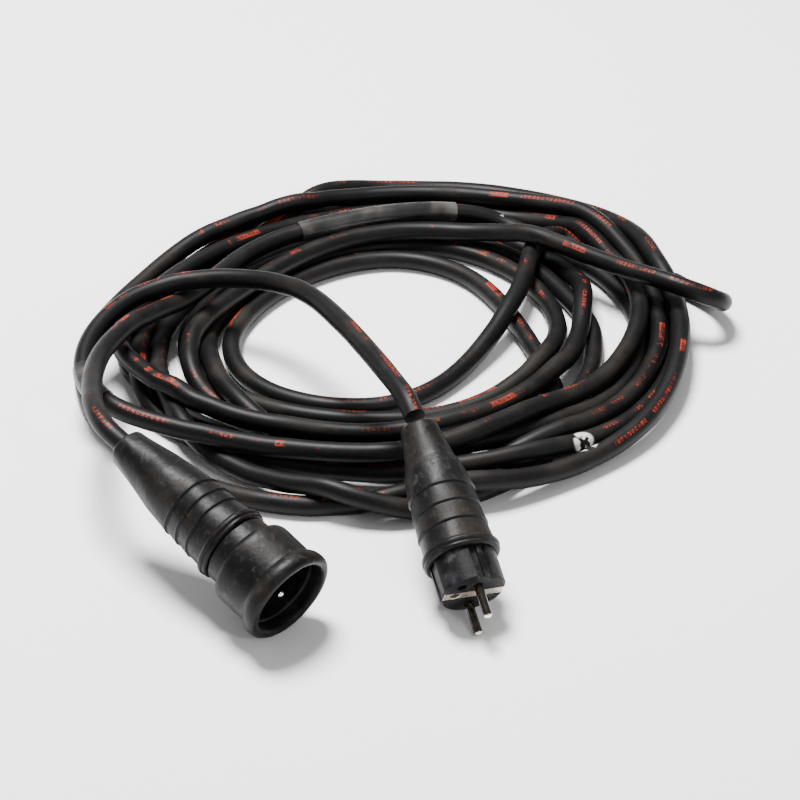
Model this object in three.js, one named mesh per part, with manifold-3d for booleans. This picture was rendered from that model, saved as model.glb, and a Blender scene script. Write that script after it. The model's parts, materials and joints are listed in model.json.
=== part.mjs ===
// Rubber extension cord: a coil of heavy three-core cable with a straight two-pin plug on one end
// and a shuttered socket connector on the other. Millimetres, +Z up, the coil lies on z = 0.
import * as THREE from "three";
import { mergeVertices } from "three/addons/utils/BufferGeometryUtils.js";
import Module from "manifold-3d";

const wasm = await Module();
wasm.setup();

// ---- driving dimensions -------------------------------------------------------------------------

const GAP = 0.3; // between pieces that touch on the real object
const CORD_D = 11.5; // rubber cable, three cores of 2.5 mm2
const CORD_R = CORD_D / 2;
const CORE_R = 1.7; // one insulated core

// Where the coil lies: its middle, and how far it reaches at each hour of a clock seen from above.
const COIL_MIDDLE = [-9, 51];
const COIL_HEIGHT = 30;
const COIL_ROUNDING = 6;
const COIL_OUTSIDE = [190, 204, 190, 179, 176, 175, 179, 188, 193, 188, 167, 164]; // 12, 1, 2 ... 11
const COIL_INSIDE = [93, 85, 70, 54, 45, 51, 64, 74, 88, 92, 82, 85];

// Plug and connector: the middle of the mating face, the way it points, and its roll about that way.
const PLUG_FACE = [33.6, -212.2, 18.4];
const PLUG_WAY = [0.274, -0.857, -0.436];
const PLUG_ROLL = -5.7;
const CONNECTOR_FACE = [-58.7, -226, 25.2];
const CONNECTOR_WAY = [0.691, -0.67, -0.271];
const CONNECTOR_ROLL = -64.5;

// Routes of the stretches that stand out of the coil's plain shape, each from where it starts. Up to the
// length given, a stretch is a piece of its own; from there on it lies on the coil and belongs to it.
const PLUG_ROUTE = [
  [5.5, -124.5, 63.1], [2.8, -116, 66.9], [-1.5, -104, 68.8], [-8, -87, 68], [-22, -52, 65], [-37, -18, 62],
  [-56, 20, 56.5], [-75, 45, 50.5], [-94, 57, 46], [-111, 63, 43], [-129, 65, 41], [-148, 60, 39.5],
  [-166, 46, 38], [-178, 23, 36], [-184, -1, 35], [-185, -20, 33], [-184, -38, 31], [-177, -53, 29],
  [-160, -64, 25],
];
const PLUG_LEAD = 226;
const CONNECTOR_ROUTE = [
  [-148.5, -138.9, 60.4], [-160, -127.5, 64.5], [-168, -106, 63], [-172, -80, 57], [-174, -52, 51],
  [-172, -24, 46], [-165, 2, 42], [-156, 25, 38], [-146, 42, 34.5], [-134, 60, 31], [-119, 83, 28],
  [-103, 117, 26], [-84, 138, 26], [-64, 149, 26], [-40, 159, 26], [-16, 167, 26], [8, 176, 25],
  [30, 182, 23], [56, 186, 19],
];
const CONNECTOR_LEAD = 184;
const BIGHT_ROUTE = [
  [174, 117, 7.2], [181, 107, 8.5], [188, 91, 13], [190, 74, 20.5], [184, 61, 29], [172, 58, 35.2],
  [157, 63, 37], [126, 82, 32], [90, 102, 26],
];
const BIGHT = 97;

// Clear marker sleeves shrunk over the cord, from and to these lengths along their routes.
const SLEEVE_WALL = 0.7;
const LONG_SLEEVE = [326, 428];
const SHORT_SLEEVE = [352, 382];

// The two-pin face.
const PIN_R = 2.4;
const PIN_LENGTH = 19;
const HALF_PITCH = 9.5; // half the distance between the pins
const EARTH_OFFSET = 10; // the earth hole and earth pin beside the line of the pins

// Plug, measured back from its face.
const PLUG_LENGTH = 102;
const PLUG_INSERT_R = 17.8;
const PLUG_INSERT_SHOWS = 19;
const PLUG_INSERT_BACK = -36;
const PLUG_BEAD_R = 21;
const CLIP_HALF = 3.6; // half the width of the earth strap's channel

// Connector, measured back from the front of its rim.
const CONNECTOR_LENGTH = 130;
const CONNECTOR_BEAD_R = 21.5;
const CONNECTOR_BOOT_FRONT = -43;
const CONNECTOR_INSERT_BACK = -58;
const WELL_DEPTH = 24;
const WELL_R = 19.8;
const EARTH_PIN_TIP = -9.7;
const SHUTTER_LOW = -28;
const SHUTTER_HIGH = -26.6;
const SHUTTER_TRAVEL = 6.6;

const ROUND = 40; // facets round a large turned piece
const FINE = 16; // facets round a small one

// ---- finishes -----------------------------------------------------------------------------------

const finish = (color, roughness, metalness = 0) =>
  new THREE.MeshStandardMaterial({ color, roughness, metalness });
const rubber = finish(0x1f1f21, 0.72);
const jacket = finish(0x262628, 0.6);
const plastic = finish(0x2c2d2f, 0.45);
const brass = finish(0xc9a45a, 0.32, 1);
const nickel = finish(0xc4bfb4, 0.28, 1);
const steel = finish(0x8d8d90, 0.35, 1);
const film = finish(0x9a9c9e, 0.25);
const coreColour = {
  live: finish(0x5a3a26, 0.5),
  neutral: finish(0x2e5a9a, 0.5),
  earth: finish(0x6f9a3a, 0.5),
};

// ---- shapes -------------------------------------------------------------------------------------

const solid = (geometry) => {
  const shape = geometry.clone();
  shape.deleteAttribute("normal");
  shape.deleteAttribute("uv");
  const merged = mergeVertices(shape, 1e-4);
  return new wasm.Manifold(
    new wasm.Mesh({
      numProp: 3,
      vertProperties: merged.attributes.position.array,
      triVerts: new Uint32Array(merged.index.array),
    }),
  );
};

const geometryOf = (shape) => {
  const mesh = shape.getMesh();
  const geometry = new THREE.BufferGeometry();
  geometry.setAttribute("position", new THREE.BufferAttribute(mesh.vertProperties, 3));
  geometry.setIndex(new THREE.BufferAttribute(mesh.triVerts, 1));
  geometry.computeVertexNormals();
  return geometry;
};

const join = (...geometries) => geometryOf(geometries.map(solid).reduce((a, b) => a.add(b)));
const cut = (geometry, ...tools) =>
  geometryOf(tools.map(solid).reduce((a, b) => a.subtract(b), solid(geometry)));

// A turned piece about z. Its outline is [radius, z] pairs that run anticlockwise.
const turned = (outline, facets = ROUND) =>
  new THREE.LatheGeometry(outline.map(([r, z]) => new THREE.Vector2(r, z)), facets).rotateX(Math.PI / 2);

// A rod along z between two heights.
const rod = (radius, low, high, x = 0, y = 0, facets = FINE) =>
  new THREE.CylinderGeometry(radius, radius, high - low, facets)
    .rotateX(Math.PI / 2)
    .translate(x, y, (low + high) / 2);

const box = (x0, x1, y0, y1, z0, z1) =>
  new THREE.BoxGeometry(x1 - x0, y1 - y0, z1 - z0).translate((x0 + x1) / 2, (y0 + y1) / 2, (z0 + z1) / 2);

// The same box on both sides of x = 0.
const boxPair = (x0, x1, ...rest) => [box(x0, x1, ...rest), box(-x1, -x0, ...rest)];

const ring = (radius, sides, Kind = THREE.Shape) =>
  new Kind(
    Array.from({ length: sides }, (_, i) => {
      const turn = (2 * Math.PI * i) / sides;
      return new THREE.Vector2(radius * Math.cos(turn), radius * Math.sin(turn));
    }),
  );

const curveThrough = (points) =>
  new THREE.CatmullRomCurve3(points.map((p) => new THREE.Vector3(...p)), false, "centripetal");

// A round tube or pipe along a curve, between two lengths along it.
const tube = (points, radius, { sides = 10, step = 26, bore = 0, from = 0, to = Infinity } = {}) => {
  const route = curveThrough(points);
  const length = route.getLength();
  const run = Math.min(to, length) - from;
  const steps = Math.max(2, Math.round(run / step));
  const count = 4 * steps;
  const at = (i) => route.getPointAt(Math.min(1, (from + (run * i) / count) / length));
  const along = Array.from({ length: count + 1 }, (_, i) => at(i));
  const path = new THREE.CatmullRomCurve3(along, false, "centripetal");
  const section = ring(radius, sides);
  if (bore) section.holes.push(ring(bore, sides, THREE.Path));
  return new THREE.ExtrudeGeometry(section, { steps, extrudePath: path, bevelEnabled: false });
};

// The smooth closed outline through a coil's reach at the twelve hours.
const clockOutline = (reach, count) => {
  const points = reach.map((r, hour) => {
    const turn = (Math.PI * hour) / 6;
    return new THREE.Vector3(COIL_MIDDLE[0] + r * Math.sin(turn), COIL_MIDDLE[1] + r * Math.cos(turn), 0);
  });
  return new THREE.CatmullRomCurve3(points, true).getPoints(count).slice(0, count);
};

// A screw along z: shank, head at the top, and a slot across the head.
const screw = (radius, headR, low, high, x = 0, y = 0) =>
  cut(
    join(rod(radius, low, high - 1.4, x, y, 10), rod(headR, high - 1.6, high, x, y, 12)),
    box(x - headR - 1, x + headR + 1, y - 0.4, y + 0.4, high - 0.8, high + 1),
  );

// ---- scene graph --------------------------------------------------------------------------------

const group = new THREE.Group();
group.position.set(0.97, 0.3, 0); // puts the origin under the middle of the whole outline

const put = (parent, name, geometry, material) => {
  const mesh = new THREE.Mesh(geometry, material);
  mesh.name = name;
  parent.add(mesh);
};

// A group whose +Z is the way a mating face points and whose +Y leans up, rolled about that way.
const facing = (face, way, roll) => {
  const z = new THREE.Vector3(...way).normalize();
  const x = new THREE.Vector3(-z.y, z.x, 0).normalize();
  const y = new THREE.Vector3().crossVectors(z, x);
  const frame = new THREE.Group();
  frame.quaternion.setFromRotationMatrix(new THREE.Matrix4().makeBasis(x, y, z));
  frame.rotateZ(THREE.MathUtils.degToRad(roll));
  frame.position.set(...face);
  group.add(frame);
  return frame;
};

const plug = facing(PLUG_FACE, PLUG_WAY, PLUG_ROLL);
const connector = facing(CONNECTOR_FACE, CONNECTOR_WAY, CONNECTOR_ROLL);

// ---- pieces that the plug and the connector share -------------------------------------------------

// Tapered rubber boot round the cable: bore, taper, three stepped ribs, bead. It runs forward from z = 0,
// and its first rib is this far behind the mouth.
const RIBS = 3;
const MOUTH_R = 17.2;
const CHAMBER_R = 15.2;
const boot = (length, beadR, firstRib, ribSpacing) => {
  const ribs = Array.from({ length: RIBS }, (_, i) => {
    const z = length - firstRib + i * ribSpacing;
    const r = beadR - 3 + i * 0.45;
    return [[r, z], [r - 0.5, z + 0.6]];
  }).flat();
  const bore = CORD_R + GAP;
  return turned([
    [bore, 0], [beadR - 11.6, 0], [beadR - 10.7, 1.4], [beadR - 6.6, 26], [beadR - 3.4, length - 44],
    ...ribs,
    [beadR - 1.6, length - 5.8], [beadR - 0.3, length - 5], [beadR, length - 3.4],
    [beadR - 0.3, length - 1], [beadR - 1.2, length], [MOUTH_R, length],
    [MOUTH_R, length - 4], [CHAMBER_R, length - 6], [CHAMBER_R, length - 36],
    [11.5, length - 50], [bore, length - 54], [bore, 0],
  ]);
};

// Pocket cuts at the back of an insert: two contact pockets, the middle, and the earth pocket.
const POCKET = 3.9;
const backPockets = (back, contactTop, middleTop, earthTop) => [
  box(-POCKET, POCKET, HALF_PITCH - POCKET, HALF_PITCH + POCKET, back - 9, contactTop),
  box(-POCKET, POCKET, -HALF_PITCH - POCKET, POCKET - HALF_PITCH, back - 9, contactTop),
  box(-POCKET, POCKET, -6, 6, back - 9, middleTop),
  box(3.5, 13.4, -POCKET, POCKET, back - 9, earthTop),
];

// A terminal block along z with a wire hole from behind and a screw hole in its inner side.
const terminalBlock = (low, high) =>
  cut(box(-3.5, 3.5, -3.5, 3.5, low, high), rod(2, low - 1, low + 8), rod(1.5, 0, 5).rotateX(Math.PI / 2)
    .translate(0, 0, low + 2.5));

const EARTH_BLOCK_X = 9.7;
const earthBlock = (low, high) =>
  cut(box(EARTH_BLOCK_X - 3.3, EARTH_BLOCK_X + 3.5, -3.5, 3.5, low, high),
    rod(2, low - 1, low + 10, EARTH_BLOCK_X, 0),
    rod(1.5, 0, 5).rotateY(-Math.PI / 2).translate(EARTH_BLOCK_X, 0, low + 7.5));

// Everything behind an insert: terminal screws, cores, cup-shaped cover, cord clamp and cable tail.
const cableEnd = (parent, prefix, back, coverR, tailLow) => {
  // A screw that lies across the insert with its head towards the middle.
  const terminal = (turn, x, z) =>
    screw(1.2, 1.9, -6.3, 0).rotateX(Math.PI / 2).rotateZ(turn).translate(x, 0, z);
  const liveScrew = terminal(0, 0, back + 5.5).translate(0, 1.2, 0);
  const neutralScrew = terminal(Math.PI, 0, back + 5.5).translate(0, -1.2, 0);
  put(parent, `${prefix}_live_terminal_screw`, liveScrew, steel);
  put(parent, `${prefix}_neutral_terminal_screw`, neutralScrew, steel);
  put(parent, `${prefix}_earth_terminal_screw`, terminal(-Math.PI / 2, 1.4, back + 10.5), steel);

  const flare = (x, y, reachX, reachY, end) =>
    tube([
      [x, y, back - 10.4], [x * 1.1, y * 1.1, back - 8], [reachX * 0.8, reachY * 0.8, back - 3.6],
      [reachX, reachY, back - 0.2], [reachX, reachY, end],
    ], CORE_R, { sides: 8, step: 2.4 });
  put(parent, `${prefix}_live_core`, flare(0, 2.6, 0, HALF_PITCH, back + 7), coreColour.live);
  put(parent, `${prefix}_neutral_core`, flare(0, -2.6, 0, -HALF_PITCH, back + 7), coreColour.neutral);
  put(parent, `${prefix}_earth_core`, flare(2.6, 0, EARTH_BLOCK_X, 0, back + 12), coreColour.earth);

  const screwAt = prefix === "plug" ? [[-8.6, 9.2], [8.6, -9.2]] : [[8.2, 10], [8.2, -10]];
  put(parent, `${prefix}_rear_cover`,
    cut(rod(coverR, back - 10, back - GAP, 0, 0, ROUND), rod(coverR - 2.6, back - 8.4, back + 1, 0, 0, ROUND),
      rod(6.6, back - 12, back), ...screwAt.map(([x, y]) => rod(1.6, back - 12, back + 1, x, y, 12))),
    plastic);

  const z = back - 15;
  const half = 10.9;
  const screwX = 8.4;
  const bar = (low, high) =>
    cut(box(-half, half, low, high, z - 2.5, z + 2.5),
      ...[-screwX, screwX].map((x) => rod(1.8, -12, 12, 0, 0, 12).rotateX(Math.PI / 2).translate(x, 0, z)));
  put(parent, `${prefix}_clamp_bar`, bar(CORD_R + GAP, 9), plastic);
  put(parent, `${prefix}_clamp_saddle`, bar(-9, -CORD_R - GAP), plastic);
  [-screwX, screwX].forEach((x, i) =>
    put(parent, `${prefix}_clamp_screw_${i + 1}`,
      screw(1.5, 2.1, -9, 10.7).rotateX(-Math.PI / 2).translate(x, 0, z), steel));
  put(parent, `${prefix}_cable_tail`, rod(CORD_R, tailLow, back - 10.8, 0, 0, 12), jacket);
};

// ---- plug ---------------------------------------------------------------------------------------

const plugBoot = boot(PLUG_LENGTH - PLUG_INSERT_SHOWS - GAP, PLUG_BEAD_R, 39, 11);
put(plug, "plug_boot", plugBoot.translate(0, 0, -PLUG_LENGTH), rubber);

// Front moulding: flat flanks and channels for the earth strap, a key groove, wells for pins and screws.
const plugFlangeBack = -PLUG_INSERT_SHOWS + 0.2;
const plugWells = [[-8.6, 9.2], [8.6, -9.2]];
put(plug, "plug_insert",
  cut(
    turned([
      [0, PLUG_INSERT_BACK], [14.9, PLUG_INSERT_BACK], [14.9, -25], [16.8, -22.8], [16.8, plugFlangeBack],
      [PLUG_INSERT_R, plugFlangeBack], [PLUG_INSERT_R, -1.3], [PLUG_INSERT_R - 1.3, 0], [0, 0],
    ]),
    ...boxPair(14, 19, -CLIP_HALF, CLIP_HALF, -22, 2),
    ...boxPair(17, 25, -12, 12, plugFlangeBack - 0.1, 2),
    box(-17, 17, -CLIP_HALF, CLIP_HALF, -1.8, 2),
    ...[-HALF_PITCH, HALF_PITCH].map((y) => rod(PIN_R + GAP, -24, 2, 0, y)),
    ...backPockets(PLUG_INSERT_BACK, -20.4, -23.2, -21),
    rod(3.5, -50, 2, -EARTH_OFFSET, 0),
    ...plugWells.map(([x, y]) => rod(2.8, -8, 2, x, y)),
    ...plugWells.map(([x, y]) => rod(1.6, -50, 2, x, y, 12)),
    box(-2, 2, 16.2, 20, plugFlangeBack - 0.1, 2),
    box(5, 6.6, 15.6, 20, plugFlangeBack - 0.1, 2),
  ),
  plastic);

// A round pin with a domed tip, carried by its terminal block.
const plugPin = (y) =>
  join(
    turned([[0, -21.5], [PIN_R, -21.5], [PIN_R, PIN_LENGTH - 1.6], [PIN_R - 0.5, PIN_LENGTH - 0.5],
      [PIN_R - 1.4, PIN_LENGTH], [0, PIN_LENGTH]], FINE),
    terminalBlock(PLUG_INSERT_BACK + 3, -21),
  ).rotateZ(y > 0 ? 0 : Math.PI).translate(0, y, 0);
put(plug, "pin_live", plugPin(HALF_PITCH), nickel);
put(plug, "pin_neutral", plugPin(-HALF_PITCH), nickel);
put(plug, "plug_earth_terminal", earthBlock(PLUG_INSERT_BACK + 3, -22), brass);

// Earth strap: a bridge across the face with the earth hole in it, and a spring leg down each flank.
const strapHalf = CLIP_HALF - GAP;
put(plug, "earth_strap",
  cut(
    join(
      box(-16.4, 16.4, -strapHalf, strapHalf, -1.5, -0.3),
      ...boxPair(15.2, 16.4, -strapHalf, strapHalf, -19.6, -0.3),
    ),
    rod(2.6, -10, 10, -EARTH_OFFSET, 0),
  ),
  brass);
put(plug, "earth_socket",
  cut(rod(3.2, -24, -1.8, -EARTH_OFFSET, 0), rod(2.5, -25, 0, -EARTH_OFFSET, 0)), nickel);
plugWells.forEach(([x, y], i) =>
  put(plug, `plug_insert_screw_${i + 1}`, screw(1.3, 2.4, PLUG_INSERT_BACK - 8, -6, x, y), steel));
cableEnd(plug, "plug", PLUG_INSERT_BACK, 14.9, GAP - PLUG_LENGTH);

// ---- connector ----------------------------------------------------------------------------------

const connectorBoot = boot(CONNECTOR_LENGTH + CONNECTOR_BOOT_FRONT, CONNECTOR_BEAD_R, 34, 8.5);
put(connector, "connector_boot", connectorBoot.translate(0, 0, -CONNECTOR_LENGTH), rubber);

// Rubber shroud: neck, collar and rolled rim outside; well with a ledge inside.
const shroudBack = CONNECTOR_BOOT_FRONT + GAP;
put(connector, "connector_shroud",
  turned([
    [16.8, shroudBack], [19.4, shroudBack], [19.8, shroudBack + 0.6], [19.8, -34.5], [21.6, -33.4],
    [23.8, -31.8], [24.5, -29.6], [24.5, -10.4], [25.8, -9.2], [26.7, -7], [27, -4.4], [26.5, -1.8],
    [25.2, -0.4], [23.8, 0], [22.4, -0.5], [21.3, -2.4], [21, -4.5], [21, -8], [WELL_R, -8.8],
    [WELL_R, -31.3], [16.8, -31.3], [16.8, shroudBack],
  ]),
  rubber);

// Socket face with its two holes, the slot that the shutter slides in, and pockets from behind.
const faceScrews = [[8.2, 10], [8.2, -10]];
put(connector, "connector_insert",
  cut(
    turned([
      [0, CONNECTOR_INSERT_BACK], [14.9, CONNECTOR_INSERT_BACK], [14.9, -48.8], [16.4, -46.8], [16.4, -31],
      [WELL_R - GAP, -31], [WELL_R - GAP, -WELL_DEPTH - 0.8], [WELL_R - 1.1, -WELL_DEPTH], [0, -WELL_DEPTH],
    ]),
    ...[-HALF_PITCH, HALF_PITCH].map((y) => rod(2.75, -30, -20, 0, y)),
    box(-3.8 - SHUTTER_TRAVEL, 3.8, -12.8, 12.8, SHUTTER_LOW - GAP, SHUTTER_HIGH + GAP),
    box(3, 12.6, 3.9, 7.1, -28.9, -25.7),
    ...backPockets(CONNECTOR_INSERT_BACK, SHUTTER_LOW, -42.6, -42.6),
    rod(PIN_R + GAP, -50, -20, EARTH_OFFSET, 0),
    ...faceScrews.map(([x, y]) => rod(2.6, -26.4, -20, x, y)),
    ...faceScrews.map(([x, y]) => rod(1.6, -70, -20, x, y, 12)),
  ),
  plastic);

// Sprung sleeve that grips a pin, carried by its terminal block.
const contact = (y) =>
  cut(
    join(rod(3.4, -45, SHUTTER_LOW - 0.9), terminalBlock(CONNECTOR_INSERT_BACK + 3, -44)),
    rod(2.5, -43.5, -20),
  )
    .rotateZ(y > 0 ? 0 : Math.PI)
    .translate(0, y, 0);
put(connector, "contact_live", contact(HALF_PITCH), brass);
put(connector, "contact_neutral", contact(-HALF_PITCH), brass);
put(connector, "connector_earth_pin",
  join(
    turned([[0, -44], [PIN_R, -44], [PIN_R, EARTH_PIN_TIP - 1.6], [PIN_R - 0.6, EARTH_PIN_TIP - 0.4],
      [PIN_R - 1.5, EARTH_PIN_TIP], [0, EARTH_PIN_TIP]], FINE).translate(EARTH_OFFSET, 0, 0),
    earthBlock(CONNECTOR_INSERT_BACK + 3, -43),
  ),
  nickel);

// The shutter closes both holes and slides away from the earth pin; a small spring draws it back.
put(connector, "safety_shutter",
  cut(box(-3.4, 3.4, -12.4, 12.4, SHUTTER_LOW, SHUTTER_HIGH), box(-1.6, 1.6, -4.2, 2.6, -40, -20)), plastic);
const SPRING_TURNS = 5;
const springPoints = Array.from({ length: SPRING_TURNS * 8 + 1 }, (_, i) => {
  const turn = (Math.PI * i) / 4;
  return [4.4 + (7.6 * i) / (SPRING_TURNS * 8), 5.5 + Math.cos(turn), -27.3 + Math.sin(turn)];
});
put(connector, "shutter_spring", tube(springPoints, 0.25, { sides: 6, step: 0.9 }), steel);
faceScrews.forEach(([x, y], i) => {
  const shape = screw(1.3, 2.3, CONNECTOR_INSERT_BACK - 8, -24.5, x, y);
  put(connector, `connector_insert_screw_${i + 1}`, shape, steel);
});
cableEnd(connector, "connector", CONNECTOR_INSERT_BACK, 14.9, GAP - CONNECTOR_LENGTH);

// ---- cord ---------------------------------------------------------------------------------------

const coilBody = new THREE.ExtrudeGeometry(new THREE.Shape(clockOutline(COIL_OUTSIDE, 48)), {
  depth: COIL_HEIGHT - 2 * COIL_ROUNDING,
  bevelThickness: COIL_ROUNDING,
  bevelSize: COIL_ROUNDING,
  bevelOffset: -COIL_ROUNDING,
  bevelSegments: 2,
  steps: 1,
}).translate(0, 0, COIL_ROUNDING);
const coilEye = new THREE.ExtrudeGeometry(new THREE.Shape(clockOutline(COIL_INSIDE, 40)), {
  depth: 3 * COIL_HEIGHT,
  bevelEnabled: false,
  steps: 1,
}).translate(0, 0, -COIL_HEIGHT);
const onCoil = { sides: 12, step: 20 };
const topRuns = [
  tube(PLUG_ROUTE, CORD_R, { ...onCoil, from: PLUG_LEAD + 2 * GAP }),
  tube(CONNECTOR_ROUTE, CORD_R, { ...onCoil, from: CONNECTOR_LEAD + 2 * GAP }),
  tube(BIGHT_ROUTE, CORD_R, { ...onCoil, from: BIGHT + 2 * GAP }),
];
const sleeves = [["long_sleeve", CONNECTOR_ROUTE, LONG_SLEEVE], ["short_sleeve", PLUG_ROUTE, SHORT_SLEEVE]];
const sleeveTube = (route, from, to, gap) =>
  tube(route, CORD_R + GAP + SLEEVE_WALL + gap, {
    bore: CORD_R + GAP - gap,
    sides: 12,
    step: 12,
    from: from - gap,
    to: to + gap,
  });
const sleeveRoom = sleeves.map(([, route, [from, to]]) => sleeveTube(route, from, to, GAP));
put(group, "cord_coil", cut(join(coilBody, ...topRuns), coilEye, ...sleeveRoom), jacket);
put(group, "cord_plug_lead", tube(PLUG_ROUTE, CORD_R, { to: PLUG_LEAD }), jacket);
put(group, "cord_connector_lead", tube(CONNECTOR_ROUTE, CORD_R, { to: CONNECTOR_LEAD }), jacket);
put(group, "cord_bight", tube(BIGHT_ROUTE, CORD_R, { to: BIGHT, step: 14 }), jacket);
sleeves.forEach(([name, route, [from, to]]) => put(group, name, sleeveTube(route, from, to, 0), film));

export default group;
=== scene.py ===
import json
import math

import bmesh
import bpy
import numpy as np
from mathutils import Matrix, Vector

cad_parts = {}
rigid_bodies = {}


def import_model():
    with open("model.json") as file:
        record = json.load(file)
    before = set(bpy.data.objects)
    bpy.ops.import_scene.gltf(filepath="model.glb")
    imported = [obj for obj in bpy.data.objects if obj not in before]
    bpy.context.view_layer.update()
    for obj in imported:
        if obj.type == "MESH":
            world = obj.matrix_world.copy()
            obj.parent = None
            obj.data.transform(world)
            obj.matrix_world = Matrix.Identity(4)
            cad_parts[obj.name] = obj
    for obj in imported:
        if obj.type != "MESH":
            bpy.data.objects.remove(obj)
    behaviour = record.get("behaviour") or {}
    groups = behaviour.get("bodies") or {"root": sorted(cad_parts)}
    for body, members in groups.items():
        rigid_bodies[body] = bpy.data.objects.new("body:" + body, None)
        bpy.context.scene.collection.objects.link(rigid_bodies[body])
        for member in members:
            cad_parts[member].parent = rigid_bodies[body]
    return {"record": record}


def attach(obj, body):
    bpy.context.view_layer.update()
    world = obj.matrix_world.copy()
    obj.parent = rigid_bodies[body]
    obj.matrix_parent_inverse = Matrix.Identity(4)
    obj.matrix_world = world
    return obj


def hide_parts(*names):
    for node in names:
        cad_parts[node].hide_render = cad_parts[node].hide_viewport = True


bl_info = {
    "name": "Extension cord",
    "version": (1, 0, 0),
    "blender": (4, 5, 0),
    "location": "View3D > Sidebar > Cord",
    "description": "Builds a coiled rubber extension cord with its plug and its connector",
    "category": "Add Mesh",
}

MM = 0.001
SHIFT = Vector((0.97, 0.3, 0.0))  # millimetres, from the drawing's zero to the model's origin
CORD_D = 11.5
CORD_R = CORD_D / 2

# ---- where things lie, in millimetres -------------------------------------------------------------

# Each fitting: the middle of its mating face, which way that face looks, and its roll about that way.
PLUG = {"face": (33.6, -212.2, 18.4), "way": (0.274, -0.857, -0.436), "roll": -5.7}
CONNECTOR = {"face": (-58.7, -226.0, 25.2), "way": (0.691, -0.67, -0.271), "roll": -64.5}

PIN_R = 2.4
# how much of a pin's tip is rubbed bright and carries a painted highlight
PIN_LENGTH = 19
HALF_PITCH = 9.5  # half the distance between the plug's pins
EARTH_PIN_X = 10
PIN_DOME = 2.2
RUBBED_AND_HIGHLIT_TIP = 1.3  # how much of a pin's tip is rubbed bright

# The lead from the connector up onto the coil, with the long sleeve on it.
CONNECTOR_ROUTE = [
    (-148.5, -138.9, 60.4), (-160, -127.5, 64.5), (-168, -106, 63), (-172, -80, 57), (-174, -52, 51),
    (-172, -24, 46), (-165, 2, 42), (-156, 25, 38), (-146, 42, 34.5), (-134, 60, 31), (-119, 83, 28),
    (-103, 117, 26), (-84, 138, 26), (-64, 149, 26), (-40, 159, 26), (-16, 167, 26), (8, 176, 24),
    (30, 182, 20), (50, 185, 14), (69, 184, 9),
]
# The last turn's lead over the coil, across the eye and out to the plug, with the short sleeve on it.
PLUG_ROUTE = [
    (-115, -72, 26), (-138, -66, 27), (-158, -58, 29), (-173, -48, 31), (-182, -35, 32),
    (-185, -19, 33), (-184, -1, 35), (-178, 23, 36), (-166, 46, 38), (-148, 60, 39.5), (-129, 65, 41),
    (-111, 63, 43), (-94, 57, 46), (-75, 45, 50.5), (-56, 20, 56.5), (-37, -18, 62), (-22, -52, 65),
    (-8, -87, 68), (-1.5, -104, 68.8), (2.8, -116, 66.9), (5.5, -124.5, 63.1),
]
# The tight bight that stands out on the right: over the heap, round and back along the floor, then
# under the right side's turns and down across the eye's edge.
BIGHT_ROUTE = [
    (70, 144, 26), (89, 131, 26), (108, 115, 28), (127, 98, 31), (145, 81, 35), (159, 69, 36.5),
    (172, 63, 34.5), (184, 64, 29), (190, 74, 20.5), (188, 90, 12.5), (180, 103, 8), (169, 114, 6),
    (155, 125, 6), (140, 135, 6), (124, 146, 6), (110, 157, 7), (98, 167, 8), (87, 170, 12), (80, 158, 15),
    (78, 138, 17), (75, 116, 17), (71, 98, 15), (64, 75, 15), (54, 56, 11), (40, 33, 8), (25, 10, 6),
    (9, -9, 6),
]

# Each turn as it lies: how far it reaches from the coil's middle, and how high its centre is, at the
# hours 9, 10, 11, 12, 1 ... 8 of a clock seen from above.
COIL_MIDDLE = (-9, 51)
FIRST_HOUR = 9
TURNS = [
    (
        (141, 120, 127, 134, 158, 152, 149, 140, 131, 134, 134, 149),
        (27, 23, 17, 16, 6, 6, 6, 6, 15, 6, 6, 6),
    ),
    (
        (160, 151, 158, 171, 186, 179, 171, 161, 156, 141, 143, 156),
        (6, 6, 6, 6, 6, 17, 9, 6, 17, 15, 13, 11),
    ),
    (
        (150, 138, 152, 184, 198, 175, 173, 170, 169, 167, 182, 187),
        (6, 6, 6, 6, 6, 14, 17, 11, 10, 6, 6, 6),
    ),
    (
        (182, 161, 153, 163, 170, 169, 158, 151, 138, 123, 120, 116),
        (6, 8, 16, 16, 15, 22, 7, 12, 6, 6, 6, 12),
    ),
    (
        (115, 104, 104, 114, 117, 105, 98, 95, 86, 86, 90, 112),
        (6, 6, 12, 6, 6, 6, 6, 14, 6, 6, 6, 6),
    ),
    (
        (126, 113, 114, 125, 128, 117, 122, 118, 112, 104, 111, 128),
        (6, 6, 6, 6, 6, 6, 6, 6, 6, 6, 6, 6),
    ),
    (
        (111, 95, 99, 111, 121, None, None, None, None, 70, 80, 94),
        (16, 18, 21, 19, 22, 0, 0, 0, 0, 6, 6, 6),
    ),
    (
        (98, 88, 91, 99, 91, 76, 80, 108, 154, 173, 161, 150),
        (6, 7, 7, 6, 6, 6, 6, 7, 6, 8, 6, 17),
    ),
    (
        (139, 126, 125, 137, 141, 127, 111, 106, 105, 115, 118, 159),
        (10, 6, 6, 6, 6, 6, 6, 21, 13, 12, 17, 25),
    ),
    (
        (162, 134, 142, 153, 168, 159, 147, 134, 127, 142, 149, None),
        (16, 17, 16, 6, 6, 8, 17, 11, 11, 24, 23, 0),
    ),
]
BIGHT_TURN = 6  # the turn whose missing hours the bight takes, counted from 0
CONNECTOR_HOURS = 5  # hours of the first turn that the connector's own route already draws


# ---- centreline -----------------------------------------------------------------------------------

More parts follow.
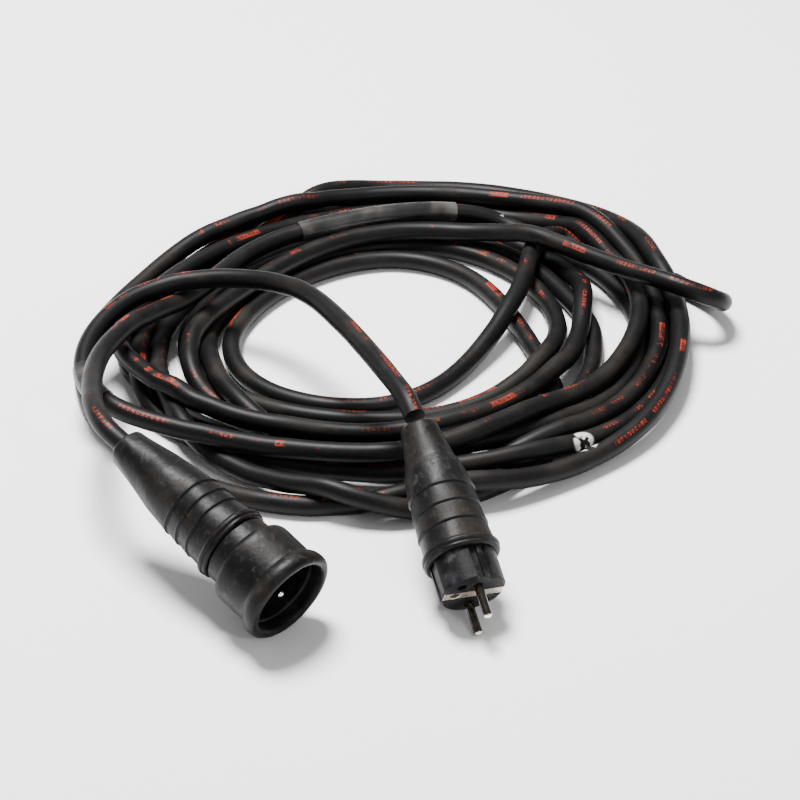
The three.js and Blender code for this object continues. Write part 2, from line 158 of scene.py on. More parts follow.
def smooth_through(points, spacing):
    """Even points on a centripetal spline through some others."""
    p = np.array(points, float)
    p = np.vstack([2 * p[0] - p[1], p, 2 * p[-1] - p[-2]])
    dense = []
    for a, b, c, d in zip(p[:-3], p[1:-2], p[2:-1], p[3:]):
        t0 = 0.0
        t1 = t0 + max(np.linalg.norm(b - a), 1e-6) ** 0.5
        t2 = t1 + max(np.linalg.norm(c - b), 1e-6) ** 0.5
        t3 = t2 + max(np.linalg.norm(d - c), 1e-6) ** 0.5
        t = np.linspace(t1, t2, 24, endpoint=False)[:, None]
        ab = (t1 - t) / (t1 - t0) * a + (t - t0) / (t1 - t0) * b
        bc = (t2 - t) / (t2 - t1) * b + (t - t1) / (t2 - t1) * c
        cd = (t3 - t) / (t3 - t2) * c + (t - t2) / (t3 - t2) * d
        abc = (t2 - t) / (t2 - t0) * ab + (t - t0) / (t2 - t0) * bc
        bcd = (t3 - t) / (t3 - t1) * bc + (t - t1) / (t3 - t1) * cd
        dense.append((t2 - t) / (t2 - t1) * abc + (t - t1) / (t2 - t1) * bcd)
    dense = np.vstack(dense + [p[-2:-1]])
    along = np.r_[0, np.cumsum(np.linalg.norm(np.diff(dense, axis=0), axis=1))]
    steps = max(2, round(along[-1] / spacing))
    even = np.linspace(0, along[-1], steps + 1)
    return np.stack([np.interp(even, along, dense[:, i]) for i in range(3)], axis=1)


def evened(values, weights):
    """A run of numbers with its small bumps taken out, where it has no gaps."""
    half = len(weights) // 2
    made = list(values)
    for i in range(half, len(values) - half):
        near = values[i - half:i + half + 1]
        if None not in near:
            made[i] = sum(v * w for v, w in zip(near, weights)) / sum(weights)
    return made


def turn_points():
    """The turns' own points, and the bight's in their place in the seventh turn."""
    points = []
    hours = len(TURNS[0][0])
    reaches = evened([r for reach, _ in TURNS for r in reach], (-1, 4, 10, 4, -1))
    heights = evened([z for _, height in TURNS for z in height], (1, 2, 1))
    for number in range(len(TURNS)):
        reach = reaches[number * hours:(number + 1) * hours]
        height = heights[number * hours:(number + 1) * hours]
        for i, (r, z) in enumerate(zip(reach, height)):
            hour = FIRST_HOUR + i
            if number == 0 and i < CONNECTOR_HOURS:
                continue
            if r is None:
                if number == BIGHT_TURN and reach[i - 1] is not None:
                    points += BIGHT_ROUTE
                continue
            turn = math.radians(30 * hour)
            x = COIL_MIDDLE[0] + r * math.sin(turn)
            y = COIL_MIDDLE[1] + r * math.cos(turn)
            points.append((x, y, max(z, CORD_R)))
    return points


SINK = 0.05  # millimetres a round
LOOSE, FIRM = 0.06, 0.4  # how much of the way back to its route a point goes in a round
BIGHT_TIP = BIGHT_ROUTE[7]


def settle(points, spacing, rounds, held):
    """Let the heap rest: strands push each other apart to one diameter, sink, and stay off the floor."""
    x = points.copy()
    aim = points.copy()
    n = len(x)
    hold = np.full(n, LOOSE)
    hold[:held] = FIRM
    hold[-held:] = FIRM
    # Long waves are evened out everywhere but at the ends and round the tight bight.
    from_bight = np.linalg.norm(aim - np.array(BIGHT_TIP), axis=1)
    even = np.clip((from_bight - 45) / 60, 0, 1)
    even[:held] = even[-held:] = 0
    near = None
    for step in range(rounds):
        x[:, 2] -= SINK * (hold < FIRM)
        for reach, weight in ((1, 0.8), (4, 0.5 * even[:, None])):
            bend = np.zeros_like(x)
            r, q = reach, 2 * reach
            bend[q:-q] = (-x[:-2 * q] + 4 * x[r:-q - r] - 6 * x[q:-q] + 4 * x[q + r:-r] - x[2 * q:]) / 16
            x += weight * bend
        x += hold[:, None] * (aim - x) * np.array([1.0, 1.0, 0.5])
        if step % 8 == 0:
            gap = ((x[:, None, :] - x[None, :, :]) ** 2).sum(2)
            a, b = np.nonzero(gap < (1.7 * CORD_D) ** 2)
            keep = (b - a) * spacing > 2.6 * CORD_D
            near = a[keep], b[keep]
        a, b = near
        way = np.gradient(x, axis=0)
        way /= np.linalg.norm(way, axis=1)[:, None]
        for _ in range(2):
            w = x[b] - x[a]
            w -= (w * way[a]).sum(1)[:, None] * way[a]
            far = np.linalg.norm(w, axis=1) + 1e-9
            push = np.clip(CORD_D * 1.01 - far, 0, None)
            move = (0.3 * push / far)[:, None] * w
            total = np.zeros_like(x)
            count = np.zeros(n)
            np.add.at(total, a, -move)
            np.add.at(total, b, move)
            np.add.at(count, a, push > 0)
            np.add.at(count, b, push > 0)
            x += 2 * total / np.maximum(count, 1)[:, None]
            x[:, 2] = np.maximum(x[:, 2], CORD_R)
        x[0], x[-1] = points[0], points[-1]
    return x


def cord_line():
    """The whole cable's centreline in millimetres, from the connector to the plug."""
    spacing = 6.0
    rough = smooth_through(CONNECTOR_ROUTE + turn_points() + PLUG_ROUTE, spacing)
    settled = settle(rough, spacing, rounds=170, held=30)
    return smooth_through(settled[::2], 3.6)


def frames_along(line):
    """At each point: forward, outward from the coil's middle, and the third way."""
    forward = np.gradient(line, axis=0)
    forward /= np.linalg.norm(forward, axis=1)[:, None]
    up = np.array([0.0, 0.0, 1.0])
    side = np.cross(forward, up)
    side /= np.linalg.norm(side, axis=1)[:, None] + 1e-9
    lift = np.cross(side, forward)
    return forward, side, lift


# ---- mesh helpers ---------------------------------------------------------------------------------

def finish_mesh(bm, name, material, smooth=40):
    """A finished object at the origin, with one material and its sharp edges kept."""
    mesh = bpy.data.meshes.new(name)
    bm.to_mesh(mesh)
    bm.free()
    obj = bpy.data.objects.new(name, mesh)
    bpy.context.scene.collection.objects.link(obj)
    mesh.materials.append(material)
    mesh.shade_smooth()
    mesh.set_sharp_from_angle(angle=math.radians(smooth))
    return obj


def sweep(line, radius, sides, name, material, inner=None, wobble=0.0):
    """A tube round a line, with the run in metres and the turn round it as its UV map.

    With an inner radius it is a sleeve, open at both ends."""
    forward, side, lift = frames_along(line)
    run = np.r_[0, np.cumsum(np.linalg.norm(np.diff(line, axis=0), axis=1))] * MM
    bm = bmesh.new()
    uv = bm.loops.layers.uv.new("run_and_turn")
    turns = [2 * math.pi * k / sides for k in range(sides)]
    radii = np.full(len(line), float(radius))
    if wobble:
        s = run * 1000
        radii += wobble * np.sin(s / 37.0) * np.sin(s / 11.3 + 1.0)
        radii += wobble * 0.6 * np.sin(s / 5.1) * np.sin(s / 71.0)

    def rings(scale):
        made = []
        for p, u, v, r in zip(line, side, lift, radii * scale):
            ring = [Vector(p + r * (math.cos(t) * u + math.sin(t) * v)) for t in turns]
            made.append([bm.verts.new((point + SHIFT) * MM) for point in ring])
        return made

    def skin(loops, flip):
        for i in range(len(loops) - 1):
            for k in range(sides):
                m = (k + 1) % sides
                corners = [(i, k), (i + 1, k), (i + 1, m), (i, m)]
                if flip:
                    corners.reverse()
                face = bm.faces.new([loops[a][b] for a, b in corners])
                for loop, (a, b) in zip(face.loops, corners):
                    turn = b / sides if not (b == 0 and k == sides - 1) else 1.0
                    loop[uv].uv = (run[a], turn)

    outer = rings(1.0)
    skin(outer, False)
    if inner:
        hollow = rings(inner / radius)
        skin(hollow, True)
        for end in (0, -1):
            for k in range(sides):
                m = (k + 1) % sides
                face = [outer[end][k], outer[end][m], hollow[end][m], hollow[end][k]]
                bm.faces.new(face if end == 0 else face[::-1])
    else:
        bm.faces.new(outer[0])
        bm.faces.new(outer[-1][::-1])
    bmesh.ops.recalc_face_normals(bm, faces=bm.faces)
    return finish_mesh(bm, name, material, 60)


def place(spec):
    """The matrix from a fitting's own millimetres, with z out of its mating face, to the model's metres."""
    z = Vector(spec["way"]).normalized()
    x = Vector((-z.y, z.x, 0)).normalized()
    y = z.cross(x)
    turn = Matrix((x, y, z)).transposed().to_4x4()
    roll = Matrix.Rotation(math.radians(spec["roll"]), 4, "Z")
    shift = Matrix.Translation((Vector(spec["face"]) + SHIFT) * MM)
    return shift @ turn @ roll @ Matrix.Scale(MM, 4)


def round_corners(outline, radius, steps=3):
    """An outline of (radius, z) pairs with its corners rounded."""
    made = []
    n = len(outline)
    for i, corner in enumerate(outline):
        c = Vector(corner)
        a, b = Vector(outline[i - 1]), Vector(outline[(i + 1) % n])
        la, lb = (a - c).length, (b - c).length
        cut = min(radius, 0.42 * la, 0.42 * lb)
        p, q = c + (a - c) * cut / la, c + (b - c) * cut / lb
        for k in range(steps + 1):
            t = k / steps
            made.append(tuple(p * (1 - t) ** 2 + c * 2 * t * (1 - t) + q * t * t))
    return made


def turned(outline, matrix, name, material, steps=96, rounding=0.5, dents=0.0, seed=1):
    """A closed outline of (radius, z) pairs spun round z."""
    bm = bmesh.new()
    points = round_corners(outline, rounding)
    verts = [bm.verts.new((r, 0, z)) for r, z in points]
    edges = [bm.edges.new((verts[i], verts[(i + 1) % len(verts)])) for i in range(len(verts))]
    bmesh.ops.spin(
        bm, geom=verts + edges, cent=(0, 0, 0), axis=(0, 0, 1),
        angle=2 * math.pi, steps=steps, use_merge=True,
    )
    bmesh.ops.remove_doubles(bm, verts=bm.verts, dist=0.002)
    if dents:
        for v in bm.verts:
            t = math.atan2(v.co.y, v.co.x)
            z = v.co.z
            wave = math.sin(3 * t + seed + z / 9) * math.sin(z / 13 + seed)
            wave += 0.5 * math.sin(7 * t - z / 5 + 2 * seed)
            v.co.xy *= 1 + dents * wave / max(v.co.xy.length, 1)
    bmesh.ops.recalc_face_normals(bm, faces=bm.faces)
    bmesh.ops.transform(bm, matrix=matrix, verts=bm.verts)
    return finish_mesh(bm, name, material, 35)


def softened(node, name, material, width=0.35):
    """A copy of a CAD piece with its loose triangles merged and its sharp edges rounded."""
    source = bpy.data.objects[node]
    bm = bmesh.new()
    bm.from_mesh(source.data)
    bmesh.ops.remove_doubles(bm, verts=bm.verts, dist=2e-6)
    bmesh.ops.dissolve_limit(bm, angle_limit=math.radians(1.5), verts=bm.verts, edges=bm.edges)
    obj = finish_mesh(bm, name, material, 30)
    bevel = obj.modifiers.new("edges", "BEVEL")
    bevel.width = width * MM
    bevel.segments = 2
    bevel.limit_method = "ANGLE"
    bevel.angle_limit = math.radians(35)
    bevel.use_clamp_overlap = True
    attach(obj, "shutter" if node == "safety_shutter" else "cord_set")
    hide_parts(node)
    return obj


# ---- materials ------------------------------------------------------------------------------------

class Value:
    """A number in a shader, with ordinary arithmetic."""

    def __init__(self, tree, socket):
        self.tree = tree
        self.socket = socket

    def math(self, operation, *others):
        return self.tree.node("ShaderNodeMath", {"operation": operation}, self, *others)

    def __add__(self, other):
        return self.math("ADD", other)

    __radd__ = __add__

    def __mul__(self, other):
        return self.math("MULTIPLY", other)

    __rmul__ = __mul__

    def __sub__(self, other):
        return self.math("SUBTRACT", other)

    def __rsub__(self, other):
        return (self * -1.0) + other

    def __truediv__(self, other):
        return self.math("DIVIDE", other)

    def __gt__(self, other):
        return self.math("GREATER_THAN", other)

    def __lt__(self, other):
        return self.math("LESS_THAN", other)

    def sine(self):
        return self.math("SINE")

    def size(self):
        return self.math("ABSOLUTE")

    def floor(self):
        return self.math("FLOOR")

    def part(self):
        return self.math("FRACT")

    def ramp(self, low, high):
        """0 below low, 1 above high, eased between."""
        settings = {"interpolation_type": "SMOOTHSTEP"}
        return self.tree.node("ShaderNodeMapRange", settings, self, low, high, 0.0, 1.0)


class Paint:
    """One material and the nodes that make it."""

    def __init__(self, name, metallic=0.0, roughness=0.5, sheen=0.5):
        self.material = bpy.data.materials.new(name)
        self.material.use_nodes = True
        self.nodes = self.material.node_tree.nodes
        self.links = self.material.node_tree.links
        self.shader = self.nodes["Principled BSDF"]
        self.shader.inputs["Metallic"].default_value = metallic
        self.shader.inputs["Roughness"].default_value = roughness
        self.shader.inputs["Specular IOR Level"].default_value = sheen
        self.shader.inputs["IOR"].default_value = 1.5 if sheen == 0.5 else 1.3

    def put(self, socket, value):
        if isinstance(value, Value):
            self.links.new(value.socket, socket)
        elif hasattr(value, "__len__") and len(value) == 3 and socket.type == "RGBA":
            socket.default_value = (*value, 1.0)
        else:
            socket.default_value = value

    def node(self, kind, settings, *values, out=0, **named):
        made = self.nodes.new(kind)
        for key, value in settings.items():
            setattr(made, key, value)
        for i, value in enumerate(values):
            self.put(made.inputs[i], value)
        for key, value in named.items():
            self.put(made.inputs[key.replace("_", " ")], value)
        return Value(self, made.outputs[out])

    def place(self):
        return self.node("ShaderNodeTexCoord", {}, out="Object")

    def run_and_turn(self):
        uv = self.node("ShaderNodeUVMap", {"uv_map": "run_and_turn"})
        split = self.nodes.new("ShaderNodeSeparateXYZ")
        self.links.new(uv.socket, split.inputs[0])
        return Value(self, split.outputs[0]), Value(self, split.outputs[1])

    def upness(self):
        facing = self.node("ShaderNodeNewGeometry", {}, out="Normal")
        split = self.nodes.new("ShaderNodeSeparateXYZ")
        self.links.new(facing.socket, split.inputs[0])
        return Value(self, split.outputs[2])

    def join(self, x, y, z=0.0):
        return self.node("ShaderNodeCombineXYZ", {}, x, y, z)

    def noise(self, scale, detail=3.0, where=None, rough=0.55):
        where = where or self.place()
        return self.node("ShaderNodeTexNoise", {}, Vector=where, Scale=scale, Detail=detail, Roughness=rough)

    def spots(self, where):
        return self.node("ShaderNodeTexWhiteNoise", {"noise_dimensions": "3D"}, Vector=where)

    def near(self, centre, radius):
        """1 within a radius of a point in millimetres, 0 outside, with a soft edge."""
        point = tuple(c * MM for c in Vector(centre) + SHIFT)
        gap = self.node("ShaderNodeVectorMath", {"operation": "DISTANCE"}, self.place(), point, out="Value")
        return 1.0 - gap.ramp(radius * MM * 0.7, radius * MM)

    def blend(self, amount, first, second):
        made = self.nodes.new("ShaderNodeMix")
        made.data_type = "RGBA"
        self.put(made.inputs["Factor"], amount)
        self.put(made.inputs[6], first)
        self.put(made.inputs[7], second)
        return Value(self, made.outputs[2])

    def bump(self, height, strength, distance):
        return self.node("ShaderNodeBump", {}, Strength=strength, Distance=distance, Height=height)

    def done(self, **inputs):
        for key, value in inputs.items():
            self.put(self.shader.inputs[key.replace("_", " ")], value)
        return self.material


BLACK = (0.0022, 0.0023, 0.0027)
WORN = (0.0055, 0.0055, 0.006)
DUST = (0.034, 0.026, 0.019)
PRINT = (0.27, 0.026, 0.01)
PRINT_REPEAT = 0.21  # metres from one label to the next
PRINT_START = 0.078
CHALK = (0.62, 0.61, 0.58)


def jacket_material(dust):
    p = Paint("worn cable jacket", sheen=0.3)
    run, turn = p.run_and_turn()
    settled = p.noise(26.0, 5.0).ramp(0.46, 0.74) * p.upness().ramp(-0.2, 0.9) * dust
    specks = p.noise(1100.0, 2.0).ramp(0.6, 0.68) * dust
    colour = p.blend(p.noise(9.0).ramp(0.35, 0.75) * 0.6, BLACK, WORN)
    colour = p.blend(settled * 0.55 + specks * 0.5, colour, DUST)
    scrape = p.noise(1.0, 4.0, p.join(run * 7.0, turn * 46.0), 0.6).ramp(0.66, 0.74)
    scrape = scrape * p.noise(14.0).ramp(0.5, 0.62)
    colour = p.blend(scrape * 0.3, colour, (0.05, 0.048, 0.045))

    # The printed line: rows of little broken bars and a small label, which wander slowly round the
    # cable. group goes from 0 to 1 over each repeat.
    middle = 0.25 + (run * 5.1).sine() * 0.07 + (run * 13.7 + 1.0).sine() * 0.035
    across = turn - middle
    group = ((run + PRINT_START) / PRINT_REPEAT).part()
    letters = (group > 0.2) * (group < 0.6) * (1.0 - (group > 0.38) * (group < 0.42))
    row = across.size() < 0.034
    gap = (run * 330.0).part() < 0.72
    cell = p.join((run * 1650.0).floor(), (across * 70.0).floor())
    stroke = p.spots(cell) > 0.42
    label = (group > 0.04) * (group < 0.16) * (across.size() < 0.048)
    bars = (across.size() < 0.026) * gap * (p.spots(cell) > 0.5)
    rubbed = p.noise(48.0, 4.0).ramp(0.46, 0.6)
    printed = (letters * row * gap * stroke + label * (1.0 - bars)) * rubbed
    colour = p.blend(printed * 0.8, colour, PRINT)

    chalky = p.noise(330.0, 3.0).ramp(0.5, 0.56)
    marks = p.near((99, -70, 16), 8) * p.noise(120.0, 3.0).ramp(0.44, 0.5)
    for centre, radius in SCUFFS:
        marks = marks + p.near(centre, radius) * chalky
    colour = p.blend(marks.math("MINIMUM", 0.85), colour, CHALK)
    rough = 0.38 + settled * 0.35 + p.noise(70.0) * 0.14
    height = p.noise(900.0, 2.0)
    return p.done(Base_Color=colour, Roughness=rough, Normal=p.bump(height, 0.12, 0.0004))


# Little chalky scuffs on the cable, where they lie and how far they spread.
SCUFFS = [
    ((131, -30, 18), 5), ((-31, 170, 28), 4), ((63, 186, 20), 6), ((84, 63, 20), 4), ((-74, 104, 26), 4),
]


def moulding_material(dust):
    p = Paint("moulded rubber", sheen=0.3)
    settled = p.noise(40.0, 5.0).ramp(0.42, 0.7) * p.upness().ramp(-0.3, 0.8) * dust
    grime = p.noise(260.0, 6.0, None, 0.7).ramp(0.53, 0.66) * dust
    colour = p.blend(p.noise(16.0).ramp(0.3, 0.8) * 0.7, BLACK, WORN)
    colour = p.blend(settled * 0.5 + grime * 0.65, colour, DUST)
    scratch = p.noise(60.0, 6.0, None, 0.7).ramp(0.62, 0.68)
    colour = p.blend(scratch * 0.35, colour, (0.06, 0.057, 0.052))
    return p.done(
        Base_Color=colour,
        Roughness=0.4 + settled * 0.3 + grime * 0.3,
        Normal=p.bump(p.noise(420.0, 5.0), 0.3, 0.0005),
    )


def plastic_material(name, base, worn):
    p = Paint(name, sheen=0.3)
    rub = p.noise(150.0, 5.0).ramp(0.45, 0.66)
    colour = p.blend(rub, base, worn)
    grit = p.noise(900.0, 2.0).ramp(0.6, 0.68)
    colour = p.blend(grit * 0.4, colour, DUST)
    scuff = p.noise(75.0, 6.0, None, 0.7).ramp(0.56, 0.64)
    colour = p.blend(scuff * 0.35, colour, (0.075, 0.072, 0.068))
    return p.done(Base_Color=colour, Roughness=0.45 + rub * 0.2, Normal=p.bump(p.noise(500.0), 0.2, 0.0003))


def metal_material(name, base, tarnish, roughness, amount=0.7):
    p = Paint(name, metallic=1.0)
    stain = p.noise(210.0, 4.0).ramp(0.4, 0.66) * amount
    return p.done(
        Base_Color=p.blend(stain, base, tarnish),
        Roughness=roughness + stain * 0.2,
        Normal=p.bump(p.noise(800.0), 0.08, 0.0002),
    )


def film_material():
    p = Paint("cloudy film", roughness=0.28)
    cloud = p.noise(45.0, 2.0).ramp(0.3, 0.75)
    return p.done(
        Base_Color=p.blend(cloud, (0.015, 0.015, 0.016), (0.085, 0.08, 0.075)),
        Alpha=0.5 + cloud * 0.3,
        Roughness=0.22 + cloud * 0.12,
    )


def plain_material(name, colour, roughness):
    return Paint(name, roughness=roughness).done(Base_Color=colour)


# ---- the pieces -----------------------------------------------------------------------------------

SEAT = 17.2  # inner radius of a boot's mouth
CHAMBER = 15.2  # inner radius behind it


def boot_outline(length, bead, front, first_rib, rib_spacing):
    """A boot from its mouth at front back to the cable: bore, taper, stepped ribs, double bead."""
    def z(along):
        return front - length + along

    bore = CORD_R + 0.25
    outline = [
        (bore, z(0)), (bead - 12.2, z(0.2)), (bead - 10.9, z(1.6)), (bead - 9.6, z(10)), (bead - 7.2, z(24)),
        (bead - 5.2, z(length - 53)), (bead - 3.5, z(length - first_rib - 4)),
    ]
    for i in range(3):
        ring = z(length - first_rib + rib_spacing * i)
        r = bead - 3 + 0.45 * i
        outline += [(r, ring - 0.7), (r + 0.3, ring - 0.1), (r - 0.8, ring + 0.6), (r - 0.45, ring + 1.6)]
    outline += [
        (bead - 1.7, z(length - 6.2)), (bead - 0.5, z(length - 5.6)), (bead, z(length - 4.6)),
        (bead - 0.1, z(length - 3.1)), (bead - 0.9, z(length - 2.6)), (bead - 0.6, z(length - 2.0)),
        (bead - 0.5, z(length - 1.0)), (bead - 1.4, z(length)),
    ]
    inside = [
        (SEAT, z(length)), (SEAT, z(length - 4)), (CHAMBER, z(length - 6)), (CHAMBER, z(length - 36)),
        (11.5, z(length - 50)), (bore, z(length - 54)),
    ]
    return outline + inside


# The connector's hood: the collar, the wall, the rolled rim and the step inside.
SHROUD = [
    (16.8, -42.7), (19.2, -42.7), (19.8, -41.9), (19.8, -34.7), (20.6, -33.9), (22.2, -33.2), (23.8, -31.9),
    (24.4, -30.0), (24.5, -27.0), (24.4, -12.4), (24.7, -10.4), (25.8, -9.0), (26.7, -7.0), (27.0, -4.6),
    (26.7, -2.4), (25.6, -0.8), (23.9, -0.1), (22.3, -0.6), (21.3, -2.0), (21.0, -4.0), (20.9, -8.0),
    (19.9, -8.7), (19.8, -9.6), (19.8, -31.3), (16.8, -31.3),
]


def build_cable(settings):
    """The one long cable, which stands for its plain solids; gives back its centreline."""
    line = cord_line()
    material = jacket_material(settings.dust)
    obj = sweep(line, CORD_R, settings.sides, "cable", material, wobble=0.07)
    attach(obj, "cord_set")
    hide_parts("cord_coil", "cord_plug_lead", "cord_connector_lead", "cord_bight")
    return line


def run_between(line, start, end):
    """The part of the line between the points nearest to two others."""
    first = int(np.argmin(np.linalg.norm(line - np.array(start), axis=1)))
    last = int(np.argmin(np.linalg.norm(line - np.array(end), axis=1)))
    return line[min(first, last):max(first, last) + 1]


# Where each clear sleeve begins and ends on the cable.
SLEEVES = {
    "long_sleeve": ((-66, 148, 26), (30, 182, 20)),
    "short_sleeve": ((-173, -52, 30), (-184, -22, 33)),
}


def build_sleeves(line):
    """The clear sleeves, shrunk over the cable where it lies."""
    film = film_material()
    for name, (start, end) in SLEEVES.items():
        part = run_between(line, start, end)
        obj = sweep(part, CORD_R + 0.85, 24, "clear_" + name, film, inner=CORD_R + 0.25, wobble=0.12)
        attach(obj, "cord_set")
        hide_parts(name)


def build_boots(settings):
    """Both boots and the hood, turned from their outlines."""
    material = moulding_material(settings.dust)
    made = [
        ("plug_moulding", boot_outline(82.7, 21.0, -19.3, 39, 11), PLUG, "plug_boot", 0.25),
        ("connector_moulding", boot_outline(87.0, 21.5, -43.0, 34, 8.5), CONNECTOR, "connector_boot", 0.3),
        ("connector_hood", SHROUD, CONNECTOR, "connector_shroud", 0.12),
    ]
    for name, outline, spec, node, dents in made:
        obj = turned(
            outline, place(spec), name, material, steps=112, rounding=0.7, dents=dents, seed=len(name),
        )
        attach(obj, "cord_set")
        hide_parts(node)


def pin_outline(radius, back, tip):
    """A pin from its axis at the back to its axis at the tip, with a domed end."""
    angles = np.linspace(0, math.pi / 2, 8)[:-1]
    dome = [(radius * math.cos(a), tip - PIN_DOME + PIN_DOME * math.sin(a)) for a in angles]
    return [(0.0, back), (radius, back)] + dome + [(0.0, tip)]


def pin(name, node, spec, x, y, back, tip, dark, bright):
    """A round pin with its metal painted dark as a painted reflection and a domed tip rubbed bright with a
    painted highlight, in front of its CAD piece's own block.
    """
    bm = bmesh.new()
    bm.from_mesh(bpy.data.objects[node].data)
    bmesh.ops.remove_doubles(bm, verts=bm.verts, dist=2e-6)
    bm.transform(place(spec).inverted())
    cut = bmesh.ops.bisect_plane(
        bm, geom=bm.verts[:] + bm.edges[:] + bm.faces[:], clear_outer=True, dist=0.0005,
        plane_co=(0, 0, back - 0.1), plane_no=(0, 0, 1),
    )
    rim = [e for e in cut["geom_cut"] if isinstance(e, bmesh.types.BMEdge)]
    bmesh.ops.contextual_create(bm, geom=rim)
    verts = [bm.verts.new((x + r, y, z)) for r, z in pin_outline(PIN_R, back, tip)]
    edges = [bm.edges.new((a, b)) for a, b in zip(verts, verts[1:])]
    bmesh.ops.spin(
        bm, geom=verts + edges, cent=(x, y, 0), axis=(0, 0, 1),
        angle=2 * math.pi, steps=32, use_merge=True,
    )
    bmesh.ops.remove_doubles(bm, verts=bm.verts, dist=0.002)
    bmesh.ops.recalc_face_normals(bm, faces=bm.faces)
    for face in bm.faces:
        face.material_index = int(face.calc_center_median().z > tip - RUBBED_AND_HIGHLIT_TIP)
    bm.transform(place(spec))
    obj = finish_mesh(bm, name, dark, 35)
    obj.data.materials.append(bright)
    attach(obj, "cord_set")
    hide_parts(node)


def build_faces():
    """The mating faces: inserts, the strap with only its bridge pale, the shutter and the pins."""
    plug_plastic = plastic_material("battered plug face", (0.0028, 0.003, 0.0036), (0.012, 0.012, 0.0135))
    socket_plastic = plastic_material("socket face", (0.008, 0.008, 0.009), (0.02, 0.02, 0.021))
    strap = metal_material("pale strap metal", (0.78, 0.7, 0.6), (0.33, 0.26, 0.2), 0.34)
    # The pins' dark base colour is a painted dark reflection; the tarnish stains laid over it are real.
    dark = metal_material("pin metal darkened as painted reflection", (0.075, 0.068, 0.06), (0.03, 0.025, 0.02), 0.16)
    # The bright tip colour is rubbed wear together with a painted highlight.
    bright = metal_material("rubbed pin tip with painted highlight", (0.82, 0.78, 0.7), (0.5, 0.45, 0.38), 0.22, 0.4)
    softened("plug_insert", "plug_face_moulding", plug_plastic, 0.4)
    softened("connector_insert", "socket_face_moulding", socket_plastic, 0.3)
    bridge = softened("earth_strap", "pale_earth_strap", strap, 0.2)
    bridge.data.materials.append(plug_plastic)
    back = place(PLUG).inverted()
    for face in bridge.data.polygons:
        face.material_index = int((back @ face.center).z < -2)
    softened("safety_shutter", "sliding_shutter", socket_plastic, 0.15)
    for node, y in (("pin_live", HALF_PITCH), ("pin_neutral", -HALF_PITCH)):
        pin("round_" + node, node, PLUG, 0, y, -20.3, PIN_LENGTH, dark, bright)
    pin("round_earth_pin", "connector_earth_pin", CONNECTOR, EARTH_PIN_X, 0, -43.9, -9.7, dark, bright)


def paint_insides():
    """The CAD pieces inside the mouldings keep their shapes and get plain, clean finishes."""
    paints = {
        "hard_plastic": plain_material("inner plastic", (0.05, 0.05, 0.055), 0.5),
        "steel": metal_material("screw steel", (0.45, 0.45, 0.46), (0.2, 0.18, 0.16), 0.4),
        "brass": metal_material("terminal brass", (0.7, 0.55, 0.28), (0.4, 0.3, 0.16), 0.35),
        "nickel": metal_material("socket nickel", (0.6, 0.58, 0.54), (0.3, 0.28, 0.25), 0.35),
        "cable_jacket": plain_material("clean jacket", BLACK, 0.5),
        "live_core": plain_material("brown core", (0.12, 0.045, 0.02), 0.45),
        "neutral_core": plain_material("blue core", (0.02, 0.07, 0.3), 0.45),
        "earth_core": plain_material("green and yellow core", (0.2, 0.4, 0.04), 0.45),
    }
    for entry in FRAME["record"]["subparts"]:
        obj = bpy.data.objects[entry["node"]]
        paint = paints.get(entry["material_slot"])
        if paint:
            for material_slot in obj.material_slots:
                material_slot.material = paint
            if not obj.material_slots:
                obj.data.materials.append(paint)


# ---- stage ----------------------------------------------------------------------------------------

def build_camera():
    """A long lens, raised and looking down at the coil."""
    data = bpy.data.cameras.new("camera")
    data.sensor_width = 36
    data.lens = 121.5
    data.clip_end = 20
    camera = bpy.data.objects.new("camera", data)
    camera.location = (-0.004 + SHIFT.x * MM, -1.3115 + SHIFT.y * MM, 0.8654)
    camera.rotation_euler = (math.radians(56.5), 0, 0)
    bpy.context.scene.collection.objects.link(camera)
    bpy.context.scene.camera = camera


def build_stage():
    """A pale floor, an even white surround, a wide lamp overhead and a small one in front."""
    bm = bmesh.new()
    bmesh.ops.create_grid(bm, x_segments=2, y_segments=2, size=4000 * MM)
    mesh = bpy.data.meshes.new("floor")
    bm.to_mesh(mesh)
    bm.free()
    floor = bpy.data.objects.new("floor", mesh)
    bpy.context.scene.collection.objects.link(floor)
    mesh.materials.append(plain_material("pale floor", (0.93, 0.93, 0.93), 0.9))
    world = bpy.data.worlds.new("studio")
    world.use_nodes = True
    world.node_tree.nodes["Background"].inputs["Color"].default_value = (1.0, 1.0, 1.0, 1.0)
    world.node_tree.nodes["Background"].inputs["Strength"].default_value = 0.5
    bpy.context.scene.world = world
    for name, where, size, power in (
        ("overhead", (-0.35, 0.45, 1.9), 0.8, 145.0),
        ("front", (0.9, -1.6, 1.2), 0.3, 9.0),
    ):
        light = bpy.data.lights.new(name, "AREA")
        light.shape = "DISK"
        light.size = size
        light.energy = power
        lamp = bpy.data.objects.new(name, light)
        lamp.location = where
        lamp.rotation_euler = (-Vector(where)).to_track_quat("-Z", "Y").to_euler()
        bpy.context.scene.collection.objects.link(lamp)


# ---- add-on ---------------------------------------------------------------------------------------

class CordSettings(bpy.types.PropertyGroup):
    """How worn the cable is and how fine its mesh is."""

    dust: bpy.props.FloatProperty(
        name="Dust", description="How much dust lies on the rubber", default=0.55, min=0, max=1,
    )
    sides: bpy.props.IntProperty(
        name="Sides", description="Faces round the cable", default=16, min=8, max=32,
    )


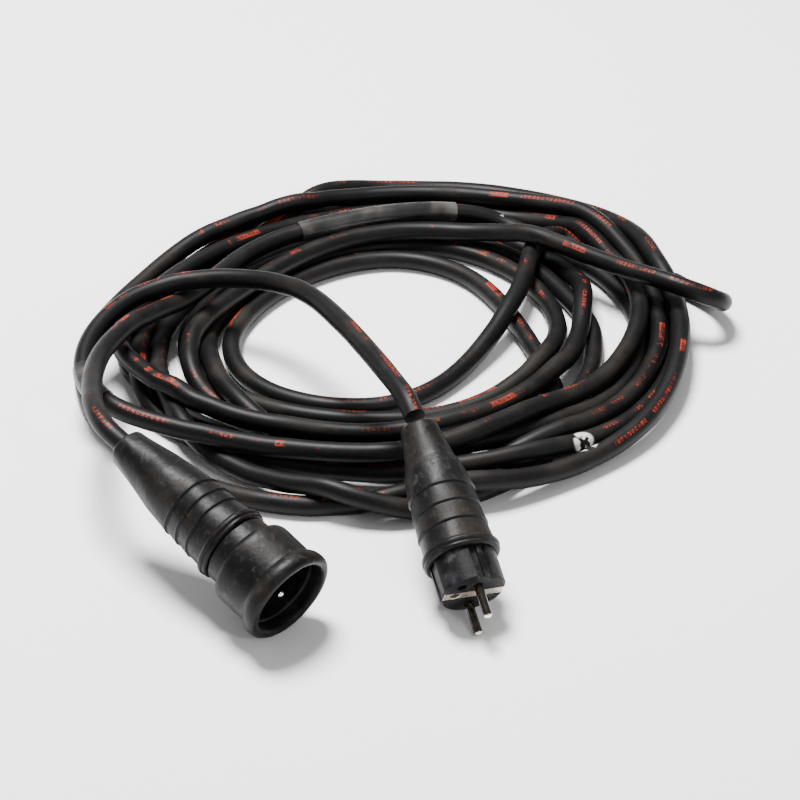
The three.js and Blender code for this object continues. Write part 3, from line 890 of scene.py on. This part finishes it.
class CORDSET_OT_stage(bpy.types.Operator):
    """Set up the camera, the pale floor and the soft light"""

    bl_idname = "cordset.stage"
    bl_label = "Stage"

    def execute(self, context):
        build_camera()
        build_stage()
        return {"FINISHED"}


class CORDSET_OT_cable(bpy.types.Operator):
    bl_idname = "cordset.cable"
    bl_label = "Cable"

    def execute(self, context):
        line = build_cable(context.scene.cord_settings)
        build_sleeves(line)
        return {"FINISHED"}


class CORDSET_OT_boots(bpy.types.Operator):
    """Mould the plug's boot, the connector's boot and its hood"""

    bl_idname = "cordset.boots"
    bl_label = "Mouldings"

    def execute(self, context):
        build_boots(context.scene.cord_settings)
        return {"FINISHED"}


class CORDSET_OT_faces(bpy.types.Operator):
    """Make the mating faces: inserts, strap, pins and shutter"""

    bl_idname = "cordset.faces"
    bl_label = "Mating faces"

    def execute(self, context):
        build_faces()
        return {"FINISHED"}


class CORDSET_OT_insides(bpy.types.Operator):
    """Give the pieces inside the mouldings their finishes"""

    bl_idname = "cordset.insides"
    bl_label = "Inner pieces"

    def execute(self, context):
        paint_insides()
        return {"FINISHED"}


class CORDSET_PT_panel(bpy.types.Panel):
    """The cord's settings and steps"""

    bl_label = "Extension cord"
    bl_space_type = "VIEW_3D"
    bl_region_type = "UI"
    bl_category = "Cord"

    def draw(self, context):
        settings = context.scene.cord_settings
        self.layout.prop(settings, "dust")
        self.layout.prop(settings, "sides")
        for step in STEPS:
            self.layout.operator(step.bl_idname)


STEPS = (CORDSET_OT_stage, CORDSET_OT_insides, CORDSET_OT_boots, CORDSET_OT_faces, CORDSET_OT_cable)
CLASSES = (CordSettings, *STEPS, CORDSET_PT_panel)


def register():
    for cls in CLASSES:
        bpy.utils.register_class(cls)
    bpy.types.Scene.cord_settings = bpy.props.PointerProperty(type=CordSettings)


def unregister():
    del bpy.types.Scene.cord_settings
    for cls in reversed(CLASSES):
        bpy.utils.unregister_class(cls)


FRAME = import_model()


def main():
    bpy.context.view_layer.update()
    register()
    bpy.ops.cordset.stage()
    bpy.ops.cordset.insides()
    bpy.ops.cordset.boots()
    bpy.ops.cordset.faces()
    bpy.ops.cordset.cable()


if __name__ == "__main__":
    main()
